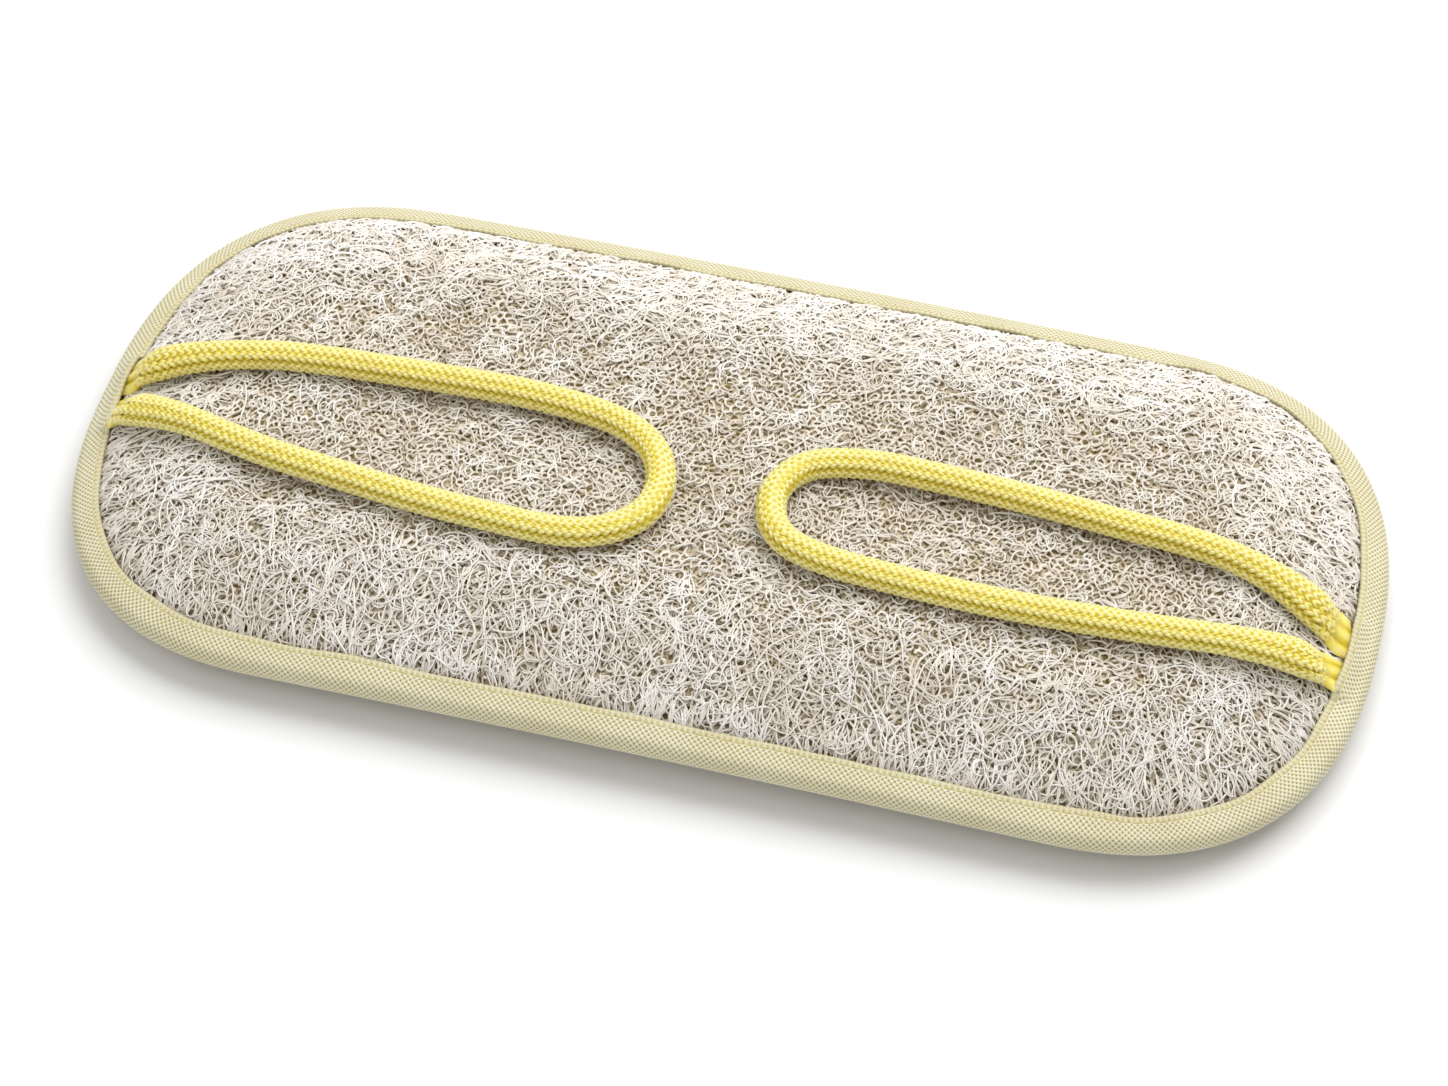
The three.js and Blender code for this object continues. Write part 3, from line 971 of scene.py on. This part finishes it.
@dataclass
class LoopCord:
    """One braided cord loop, sewn in at both ends."""

    name: str
    node: str
    route: Sequence[tuple[float, float, float]]
    shape: PadShape
    seed: int
    diameter: float = 7.0 * MM
    clearance: float = 0.35 * MM
    end_half_width: float = 5.2 * MM
    tail_half_width: float = 4.2 * MM
    end_half_height: float = 1.3 * MM
    tail_half_height: float = 0.40 * MM
    end_run: float = 15.0 * MM
    widening_run: float = 36.0 * MM
    tail: float = 2.4 * MM
    set_back: tuple[float, float] = (-0.21, 0.81)
    columns: int = 32
    pitch: float = 1.9 * MM
    grain_half: float = 0.40 * MM
    grain_points: int = 6
    grain_sides: int = 4
    slant: float = math.radians(23.0)
    end_slant: float = math.radians(18.0)
    overlap: float = 1.15
    sink: float = 0.45 * MM
    smooth_end: float = 2.6 * MM
    smooth_fade: float = 5.0 * MM
    grooves: tuple[Groove, ...] = (
        Groove(math.radians(67.5), math.radians(22.5), 1.00 * MM),
        Groove(math.radians(22.5), math.radians(-22.5), 0.45 * MM),
    )
    groove_half: float = math.radians(7.5)
    core_sides: int = 48
    core_step: float = 2.0 * MM
    hidden_angle: float = math.radians(140.0)
    tuck_gap: float = 0.1 * MM
    tuck_lift: float = 2.2 * MM

    def __post_init__(self) -> None:
        """Lays the centre line once."""
        self.line, self.places = self.centre_line()
        self.length = float(self.places[-1])

    def smooth_route(self) -> Array:
        """Smooth line through the route's points, with a short tail under the tape at both ends.

        Returns:
            Points close together along the line.
        """
        points = np.array(self.route) * MM
        tails = []
        for spot in (points[0], points[-1]):
            outward = self.shape.read(self.shape.outward_grid, spot[:1], spot[1:2])[0]
            fall = math.tan(self.shape.flap_splay)
            tails.append(spot + self.tail * np.array([outward[0], outward[1], -fall]))
        points = np.vstack([tails[0], points, tails[1]])
        padded = np.vstack([2.0 * points[0] - points[1], points, 2.0 * points[-1] - points[-2]])
        share = np.linspace(0.0, 1.0, 24, endpoint=False)[:, None]
        stretches = []
        for before, start, end, after in zip(padded, padded[1:], padded[2:], padded[3:]):
            knots = np.cumsum([0.0] + [np.linalg.norm(b - a) ** 0.5 for a, b in
                                       ((before, start), (start, end), (end, after))])
            t = knots[1] + share * (knots[2] - knots[1])
            first = (before * (knots[1] - t) + start * (t - knots[0])) / (knots[1] - knots[0])
            second = (start * (knots[2] - t) + end * (t - knots[1])) / (knots[2] - knots[1])
            third = (end * (knots[3] - t) + after * (t - knots[2])) / (knots[3] - knots[2])
            left = (first * (knots[2] - t) + second * (t - knots[0])) / (knots[2] - knots[0])
            right = (second * (knots[3] - t) + third * (t - knots[1])) / (knots[3] - knots[1])
            stretches.append((left * (knots[2] - t) + right * (t - knots[1])) / (knots[2] - knots[1]))
        return np.vstack(stretches + [points[-1:]])

    def centre_line(self) -> tuple[Array, Array]:
        """Centre line of the cord as it lies, lowered where it is flattened.

        Returns:
            Points along the line and the length up to each.
        """
        line = self.smooth_route()
        places = np.concatenate([[0.0], np.cumsum(np.linalg.norm(np.diff(line, axis=0), axis=1))])
        along = unit(np.gradient(line, axis=0))
        up = self.upright(along)
        drop = self.diameter / 2.0 + self.clearance - self.half_height(places, places[-1]) - 0.1 * MM
        line = line - up * drop[:, None]
        line[:, :2] += drop[:, None] * np.array(self.set_back)
        places = np.concatenate([[0.0], np.cumsum(np.linalg.norm(np.diff(line, axis=0), axis=1))])
        return line, places

    @staticmethod
    def upright(along: Array) -> Array:
        """Direction that is as far up as a section across the line allows."""
        up = np.array([0.0, 0.0, 1.0])
        return unit(up - along * along[..., 2:3])

    def end_share(self, places: Array, length: float) -> Array:
        """Share of roundness: 0 at the sewn ends, 1 along the free cord."""
        return ease(np.minimum(places, length - places), self.tail, self.end_run)

    def half_height(self, places: Array, length: float) -> Array:
        """Half height of the section at lengths along the cord."""
        round_half = 0.47 * self.diameter
        tail_share = ease(np.minimum(places, length - places), 0.0, self.tail)
        flat_half = self.tail_half_height + (self.end_half_height - self.tail_half_height) * tail_share
        return flat_half + (round_half - flat_half) * self.end_share(places, length)

    def half_width(self, places: Array, length: float) -> Array:
        """Half width of the section at lengths along the cord."""
        from_end = np.minimum(places, length - places)
        tail_share = ease(from_end, 0.0, self.tail)
        flat_half = self.tail_half_width + (self.end_half_width - self.tail_half_width) * tail_share
        return flat_half + (0.5 * self.diameter - flat_half) * ease(from_end, self.tail, self.widening_run)

    def section(self, places: Array, angle: Array, sink: Array) -> tuple[Array, Array]:
        """Points on the cord's surface.

        Args:
            places: Lengths along the cord.
            angle: Angle from the top, towards the line's right side.
            sink: How far below the surface.

        Returns:
            The points, and the directions out of the surface.
        """
        centre = np.stack([np.interp(places, self.places, self.line[:, k]) for k in range(3)], axis=-1)
        tangent = unit(np.gradient(self.line, axis=0))
        along = unit(np.stack([np.interp(places, self.places, tangent[:, k]) for k in range(3)], axis=-1))
        up = self.upright(along)
        right = np.cross(along, up)
        share = self.end_share(places, self.length)
        wide = self.half_width(places, self.length)
        tall = self.half_height(places, self.length)
        depth = (sink + self.groove_depth(angle, share, -right[..., 1]))[..., None]
        out = unit(right * (np.sin(angle) * tall)[..., None] + up * (np.cos(angle) * wide)[..., None])
        spot = centre + right * (np.sin(angle) * wide)[..., None] + up * (np.cos(angle) * tall)[..., None]
        return spot - out * depth, out

    def near_side(self, places: Array) -> Array:
        """Sign of the angles that lie on the pad's near side, for each leg of the loop.

        Args:
            places: Lengths along the cord.

        Returns:
            1 where the line's right side is the near one, else -1.
        """
        first_leg = np.sign(self.route[-1][1] - self.route[0][1]) * np.sign(self.route[0][0])
        return np.where(places < 0.5 * self.length, first_leg, -first_leg)

    def groove_depth(self, angle: Array, share: Array, facing: Array) -> Array:
        """How deep the lengthwise grooves are.

        Args:
            angle: Angle from the top, towards the line's right side.
            share: Share of roundness, 0 at the sewn ends.
            facing: How far the line's right side looks to the pad's near side, from -1 to 1.

        Returns:
            The depth at each angle.
        """
        total = np.zeros_like(angle)
        for groove in self.grooves:
            middle = groove.end_angle + (groove.angle - groove.end_angle) * share
            off = (angle - np.sign(facing) * middle) / self.groove_half
            total = total + groove.depth * (0.5 + 0.5 * share) * np.exp(-off * off)
        return total * ease(np.abs(facing), 0.55, 0.95)

    def smooth_share(self, places: Array) -> Array:
        """Share of smooth satin at lengths along the cord: 1 at the sewn ends, 0 along the braid."""
        start = self.tail + self.smooth_end
        return 1.0 - ease(np.minimum(places, self.length - places), start, start + self.smooth_fade)

    def tuck(self, spots: Array) -> Array:
        """Presses down what lies under the tape.

        Args:
            spots: Points of the cord.

        Returns:
            The points, no higher than the tape's underside where it covers them.
        """
        shape = self.shape
        x, y = spots[..., 0], spots[..., 1]
        inset = shape.read(shape.inset_grid, x, y)
        face, _ = shape.on_face(Side.FRONT, x, y)
        room = self.tuck_gap + self.tuck_lift * ease(inset, 2.0 * MM, shape.flap_reach)
        covered = inset < shape.flap_reach
        pressed = spots.copy()
        pressed[..., 2] = np.where(covered, np.minimum(spots[..., 2], face[..., 2] + room), spots[..., 2])
        return pressed

    def build_core(self) -> MeshData:
        """Builds the tube inside the braid, which comes up to the surface as satin ribs at the sewn ends.

        Returns:
            The tube as a mesh.
        """
        count = int(self.length / self.core_step)
        places = np.repeat(np.linspace(0.0, self.length, count)[:, None], self.core_sides, axis=1)
        turn = 2.0 * math.pi * np.arange(self.core_sides) / self.core_sides - math.pi
        angle = np.repeat(turn[None, :], count, axis=0)
        smooth = self.smooth_share(places)
        spots, _ = self.section(places, angle, 0.8 * self.sink * (1.0 - smooth))
        spots = self.tuck(spots)
        groove = self.groove_depth(angle, self.end_share(places, self.length), self.near_side(places))
        grid = np.arange(count * self.core_sides).reshape(count, self.core_sides)
        after = np.roll(grid, -1, axis=1)
        quads = np.stack([grid[:-1], after[:-1], after[1:], grid[1:]], axis=-1).reshape(-1, 4)
        # Painted shade: the core takes the dark gap colour under the braid and in the grooves; at the sewn
        # ends its satin takes a mid to light tone.
        lift = smooth * np.clip(0.72 - groove / (0.28 * MM), 0.02, 1.0)
        ends = [grid[:1, ::-1], grid[-1:]]
        return MeshData(spots.reshape(-1, 3), quads, ends,
                        {"lift": lift.reshape(-1), "tone": np.full(lift.size, 0.6)})

    def build_grains(self, rng: np.random.Generator) -> MeshData:
        """Builds the braid's visible grains, in columns that slant to one side and the other in turn.

        Args:
            rng: Source of chance.

        Returns:
            The grains as one mesh.
        """
        rows = int(self.length / self.pitch)
        width = 2.0 * math.pi / self.columns
        column = np.arange(self.columns)
        middle = (column + 0.5) * width - math.pi
        seen = np.abs(middle) < self.hidden_angle
        middle, column = middle[seen], column[seen]
        sign = np.where(column % 2 == 0, 1.0, -1.0)
        stagger = 0.5 * ((column // 2) % 2)
        start = ((np.arange(rows)[:, None] + 0.25 + stagger[None, :]) * self.pitch).reshape(-1)
        start = start + rng.normal(0.0, 0.04, start.size) * self.pitch
        middle = np.tile(middle, rows) + rng.normal(0.0, 0.03, start.size) * width
        sign = np.tile(sign, rows)
        braided = self.smooth_share(start) < 0.6
        start, middle, sign = start[braided], middle[braided], sign[braided]
        share = self.end_share(start, self.length)
        slant = self.end_slant + (self.slant - self.end_slant) * share
        run = np.linspace(-1.0, 1.0, self.grain_points)
        lateral = 0.5 * width * self.overlap
        axial = lateral * 0.5 * self.diameter / np.tan(slant)
        places = np.clip(start[:, None] + axial[:, None] * run, 0.0, self.length)
        angle = middle[:, None] + sign[:, None] * lateral * run
        sink = self.grain_half * (0.8 + 1.0 * self.smooth_share(places)) + self.sink * np.abs(run) ** 2.2
        centres, out = self.section(places, angle, sink)
        girth = self.grain_half * (1.0 - 0.35 * np.abs(run) ** 2)
        wide = girth * (1.35 - 0.35 * share)[:, None]
        tall = girth * (0.75 + 0.25 * share)[:, None]
        tone = np.repeat(rng.uniform(0.0, 1.0, len(start))[:, None], self.grain_points, axis=1)
        groove = self.groove_depth(angle, self.end_share(places, self.length), self.near_side(places))
        # Painted highlight and shade: each grain is lighter along its middle, darker towards the ends where
        # it dives in and in the grooves.
        lift = (1.0 - 0.75 * np.abs(run) ** 1.5) * np.clip(1.0 - groove / (0.8 * MM), 0.1, 1.0)
        tones = {"lift": lift, "tone": tone}
        return tubes(centres, out, wide, tall, self.grain_sides, tones, open_below=True)

    def build(self, finish: bpy.types.Material) -> bpy.types.Object:
        """Args:
            finish: Material of the braid.

        Returns:
            The cord's object.
        """
        rng = np.random.default_rng(self.seed)
        data = MeshData.joined([self.build_core(), self.build_grains(rng)])
        piece = data.build(self.name, finish, Slot.CORD)
        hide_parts(self.node)
        path = self.line[:: 8]
        path = np.vstack([path, self.line[-1:]])
        return piece

    def ends(self) -> list[CordEnd]:
        """Lists where the two legs go under the tape, as shares of the way round the outline."""
        found = []
        for spot in (self.line[0], self.line[-1]):
            gap = np.linalg.norm(self.shape.outline - spot[:2], axis=1)
            found.append(CordEnd(float(np.argmin(gap)) / self.shape.stations, self.end_half_width))
        return found


@dataclass
class EdgeBinding:
    """Woven tape folded over the edge, lifted where the cords go under it."""

    shape: PadShape
    cord_ends: Sequence[CordEnd]
    rib: float = 0.68 * MM
    satin_row: float = 0.45 * MM
    grain_row: float = 0.325 * MM
    satin_width: float = 1.3 * MM
    grain: float = 0.19 * MM
    satin: float = 0.06 * MM
    seam_from_edge: float = 1.25 * MM
    seam_depth: float = 0.16 * MM
    seam_half: float = 0.36 * MM
    cord_lift: float = 2.4 * MM
    cord_fade: float = 2.6 * MM
    waver: float = 0.22 * MM
    inner_rows: int = 6
    seed: int = 23

    def __post_init__(self) -> None:
        """Settles how many ribs go round and how the edge wavers."""
        self.ribs = 2 * int(round(self.shape.perimeter / self.rib / 2.0))
        self.turn = np.arange(self.ribs) / self.ribs
        rng = np.random.default_rng(self.seed)
        self.edge_shift = self.waver * ripple(self.turn, rng, 9, 40)
        self.edge_lift = 0.6 * self.waver * ripple(self.turn, rng, 12, 60)
        self.points, self.outward, _ = self.shape.even_outline(self.ribs)

    def fold_line(self, radius: float, reach: float, shares: Array) -> tuple[Array, float]:
        """Section line from the front flap's inner edge, round the fold, to the back flap's inner edge.

        Args:
            radius: Radius of the line round the fold's centre.
            reach: Distance in from the outline of the flap edges.
            shares: Shares of the line's length at which to give points.

        Returns:
            Points (distance in, height from the mid plane), and the line's length.
        """
        shape = self.shape
        turn = np.linspace(math.pi / 2.0 - shape.flap_splay, -math.pi / 2.0 + shape.flap_splay, 60)
        arc = np.stack([shape.fold_radius - radius * np.cos(turn), radius * np.sin(turn)], axis=-1)
        rise = (reach - arc[0, 0]) * math.tan(shape.flap_splay)
        line = np.vstack([[reach, arc[0, 1] + rise], arc, [reach, arc[-1, 1] - rise]])
        walked = np.concatenate([[0.0], np.cumsum(np.linalg.norm(np.diff(line, axis=0), axis=1))])
        points = np.stack([np.interp(shares * walked[-1], walked, line[:, k]) for k in range(2)], axis=-1)
        return points, float(walked[-1])

    def raise_over_cords(self) -> Array:
        """How far the front flap's inner edge is lifted at each rib."""
        lift = np.zeros(self.ribs)
        for end in self.cord_ends:
            gap = np.abs((self.turn - end.turn + 0.5) % 1.0 - 0.5) * self.shape.perimeter
            lift = np.maximum(lift, 1.0 - ease(gap, end.half_width, end.half_width + self.cord_fade))
        return lift * self.cord_lift

    def place(self, section: Array) -> Array:
        """Carries section points round the outline.

        Args:
            section: Points (distance in, height) at each rib, shaped (rows, ribs, 2).

        Returns:
            The points in space.
        """
        inset, height = section[..., 0], section[..., 1]
        share = ease(inset, 2.0 * MM, self.shape.flap_reach)
        front = ease(height, 0.0, 2.0 * MM)
        inset = inset + self.edge_shift * share
        height = height + self.edge_lift * share + self.raise_over_cords() * share * front
        plan = self.points - self.outward * inset[..., None]
        z = self.shape.mid_plane(plan[..., 0]) + height
        return np.concatenate([plan, z[..., None]], axis=-1)

    def flap_spot(self, side: Side, from_edge: float, sink: float) -> Array:
        """Line on the outer side of a flap.

        Args:
            side: Which flap.
            from_edge: Distance from the flap's inner edge.
            sink: How far below the plain surface.

        Returns:
            The line's point at each rib.
        """
        steps = np.linspace(0.0, 1.0, 400)
        line, width = self.fold_line(self.shape.fold_radius, self.shape.flap_reach, steps)
        at = int(round(399.0 * from_edge / width))
        across = np.array([math.sin(self.shape.flap_splay), -math.cos(self.shape.flap_splay)])
        spot = line[at] + across * sink
        spot = spot * np.array([1.0, side.value])
        return self.place(np.repeat(spot[None, None, :], self.ribs, axis=1))[0]

    def build(self, finish: bpy.types.Material, carrier: bpy.types.Object) -> bpy.types.Object:
        """Args:
            finish: Material of the weave.
            carrier: Piece that the tape is folded over; not used.

        Returns:
            The tape's object.
        """
        shape = self.shape
        _, width = self.fold_line(shape.fold_radius, shape.flap_reach, np.zeros(1))
        satin_rows = np.arange(0.0, self.satin_width, self.satin_row)
        grain_count = 2 * int(round((0.5 * width - self.satin_width) / self.grain_row))
        grain_rows = np.linspace(self.satin_width, width - self.satin_width, grain_count + 1)
        places = np.concatenate([satin_rows, grain_rows, width - satin_rows[::-1]])
        rows = len(places)
        outer, _ = self.fold_line(shape.fold_radius, shape.flap_reach, places / width)
        inner, _ = self.fold_line(shape.fold_radius - shape.tape_thickness, shape.flap_reach + 0.3 * MM,
                                  np.linspace(0.0, 1.0, self.inner_rows))
        ahead = unit(np.gradient(outer, axis=0))
        out = np.stack([ahead[:, 1], -ahead[:, 0]], axis=-1)
        out = out * np.sign(np.sum(out * (outer - np.array([shape.fold_radius, 0.0])), axis=1, keepdims=True))
        from_edge = np.minimum(places, width - places)
        on_flap = 1.0 - ease(from_edge, self.satin_width - 0.3 * MM, self.satin_width + 0.6 * MM)
        row = np.arange(rows) - len(satin_rows)
        rib = np.where(np.arange(self.ribs) % 2 == 0, 1.0, -1.0)[None, :]
        row_wave = np.cos(0.5 * math.pi * row)
        grain = np.maximum(row_wave[:, None] * rib, -0.7)
        relief = self.grain * grain * (1.0 - on_flap)[:, None] + self.satin * rib * on_flap[:, None]
        seam = np.exp(-((from_edge - self.seam_from_edge) / self.seam_half) ** 2)
        relief = relief * (1.0 - 0.6 * seam)[:, None] - self.seam_depth * seam[:, None]
        relief[[0, -1]] -= 0.2 * MM
        section = outer[:, None, :] + out[:, None, :] * relief[..., None]
        lining = np.repeat(inner[::-1, None, :], self.ribs, axis=1)
        sheet = self.place(np.concatenate([section, lining]))
        count = len(sheet)
        grid = np.arange(count * self.ribs).reshape(count, self.ribs)
        below = np.roll(grid, -1, axis=0)
        quads = np.stack([grid, np.roll(grid, -1, axis=1), np.roll(below, -1, axis=1), below], axis=-1)
        # Painted shade at the flap's inner edge and in the seam groove, and painted highlight and shade on
        # the raised and sunk satin ribs.
        edge_shade = 1.0 - 0.5 * np.exp(-((from_edge / (0.4 * MM)) ** 2))
        satin_light_and_shade = np.clip((0.72 + 0.14 * rib - 0.42 * seam[:, None]) * edge_shade[:, None], 0.0, 1.0)
        lining_rows = (self.inner_rows, self.ribs)
        values = {
            "lift": np.concatenate([satin_light_and_shade, np.full(lining_rows, 0.3)]),
            "flap": np.concatenate([np.repeat(on_flap[:, None], self.ribs, axis=1), np.ones(lining_rows)]),
            "row_wave": np.concatenate(
                [np.repeat(row_wave[:, None], self.ribs, axis=1), np.ones(lining_rows)]
            ),
            "rib_wave": np.repeat(rib, count, axis=0),
        }
        values = {name: value.reshape(-1) for name, value in values.items()}
        data = MeshData(sheet.reshape(-1, 3), quads.reshape(-1, 4)[:, ::-1], [], values)
        tape = data.build("binding_tape", finish, Slot.TAPE)
        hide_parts("edge_binding")
        return tape


@dataclass
class StitchLine:
    """Line of sewing stitches along one flap of the tape."""

    binding: EdgeBinding
    side: Side
    node: str
    stitch: float = 2.9 * MM
    share: float = 0.86
    half: float = 0.19 * MM
    points: int = 6
    sides: int = 5
    sink: float = 0.12 * MM
    dip: float = 0.30 * MM

    def build(self, finish: bpy.types.Material) -> bpy.types.Object:
        """Builds the stitches as short threads that dive into the tape at both ends.

        Args:
            finish: Material of the thread.

        Returns:
            The thread's object.
        """
        binding = self.binding
        line = binding.flap_spot(self.side, binding.seam_from_edge, self.sink)
        deep = binding.flap_spot(self.side, binding.seam_from_edge, self.sink + self.dip)
        closed = np.vstack([line, line[:1]])
        walked = np.concatenate([[0.0], np.cumsum(np.linalg.norm(np.diff(closed, axis=0), axis=1))])
        count = int(round(walked[-1] / self.stitch))
        run = np.linspace(-0.5, 0.5, self.points) * self.share
        places = ((np.arange(count)[:, None] + 0.5 + run) / count * walked[-1]) % walked[-1]
        inward = np.vstack([deep, deep[:1]]) - closed
        spot = np.stack([np.interp(places, walked, closed[:, k]) for k in range(3)], axis=-1)
        below = np.stack([np.interp(places, walked, inward[:, k]) for k in range(3)], axis=-1)
        ends = np.abs(np.linspace(-1.0, 1.0, self.points)) ** 4
        centres = spot + below * ends[None, :, None]
        half = np.full(places.shape, self.half) * (1.0 - 0.3 * ends)
        data = tubes(centres, unit(-below), half, half, self.sides, {})
        piece = data.build(self.node + "_stitches", finish, Slot.THREAD)
        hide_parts(self.node)
        return piece


@dataclass
class Studio:
    """Pale floor, soft lights and the camera."""

    target: Vector
    azimuth: float = math.radians(14.8)
    elevation: float = math.radians(50.0)
    distance: float = 0.9035
    focal_pixels: float = 4000.0
    frame_width_pixels: float = 1448.0
    sensor: float = 36.0
    floor_half: float = 4.0

    def build_camera(self) -> None:
        """Puts the camera at the photograph's angle."""
        flat = math.cos(self.elevation)
        back = Vector((
            math.sin(self.azimuth) * flat,
            -math.cos(self.azimuth) * flat,
            math.sin(self.elevation),
        ))
        data = bpy.data.cameras.new("camera")
        data.sensor_fit = "HORIZONTAL"
        data.sensor_width = self.sensor
        data.lens = self.sensor * self.focal_pixels / self.frame_width_pixels
        data.clip_start = 0.01
        camera = bpy.data.objects.new("camera", data)
        camera.location = self.target + back * self.distance
        camera.rotation_euler = back.to_track_quat("Z", "Y").to_euler()
        bpy.context.scene.collection.objects.link(camera)
        bpy.context.scene.camera = camera

    def build_floor(self) -> None:
        """Lays the plain floor."""
        half = self.floor_half
        mesh = bpy.data.meshes.new("floor")
        mesh.from_pydata([(-half, -half, 0.0), (half, -half, 0.0), (half, half, 0.0), (-half, half, 0.0)], [],
                         [(0, 1, 2, 3)])
        sheet = NodeSheet("floor_paper")
        sheet.set(Base_Color=(0.85, 0.85, 0.85, 1.0), Roughness=0.9, Specular_IOR_Level=0.1)
        mesh.materials.append(sheet.material)
        floor = bpy.data.objects.new("floor", mesh)
        bpy.context.scene.collection.objects.link(floor)

    def build_light(self, name: str, spot: Vector, width: float, height: float, watts: float) -> None:
        """Adds a soft light that faces the pad.

        Args:
            name: Name of the light.
            spot: Where it stands.
            width: Its width.
            height: Its height.
            watts: Its power.
        """
        data = bpy.data.lights.new(name, "AREA")
        data.shape = "RECTANGLE"
        data.size = width
        data.size_y = height
        data.energy = watts
        light = bpy.data.objects.new(name, data)
        light.location = spot
        light.rotation_euler = (spot - self.target).to_track_quat("Z", "Y").to_euler()
        bpy.context.scene.collection.objects.link(light)

    def build(self) -> None:
        """Builds the whole studio."""
        self.build_camera()
        self.build_floor()
        self.build_light("back_window", Vector((0.25, 0.66, 1.30)), 1.50, 1.20, 20.5)
        self.build_light("front_fill", Vector((-0.5, -0.9, 1.4)), 1.2, 1.2, 3.2)
        world = bpy.data.worlds.new("studio")
        world.use_nodes = True
        shade = next(node for node in world.node_tree.nodes if node.type == "BACKGROUND")
        shade.inputs["Color"].default_value = (1.0, 1.0, 1.0, 1.0)
        shade.inputs["Strength"].default_value = 0.59
        bpy.context.scene.world = world
        bpy.context.scene.view_settings.view_transform = "Standard"


def report(piece: bpy.types.Object) -> None:
    """Logs a finished piece's name and size."""
    LOG.info("%s: %d faces", piece.name, len(piece.data.polygons))


def main() -> None:
    """Builds the studio and every piece of the pad in order."""
    logging.basicConfig(level=logging.INFO)
    shape = PadShape.from_frame()
    Studio(target=Vector((2.3 * MM, -10.7 * MM, shape.edge_height))).build()
    braid = CordFinish().material()
    cords = [
        LoopCord("left_loop_braid", "left_loop_cord", LEFT_LOOP_ROUTE, shape, seed=31),
        LoopCord("right_loop_braid", "right_loop_cord", RIGHT_LOOP_ROUTE, shape, seed=37),
    ]
    for cord in cords:
        report(cord.build(braid))
    loofah = LoofahPad(shape).build()
    for piece in loofah:
        report(piece)
    binding = EdgeBinding(shape, [end for cord in cords for end in cord.ends()])
    report(binding.build(TapeFinish().material(), loofah[0]))
    thread = ThreadFinish().material()
    report(StitchLine(binding, Side.FRONT, "front_stitch_thread").build(thread))
    report(StitchLine(binding, Side.BACK, "back_stitch_thread").build(thread))


if __name__ == "__main__":
    main()
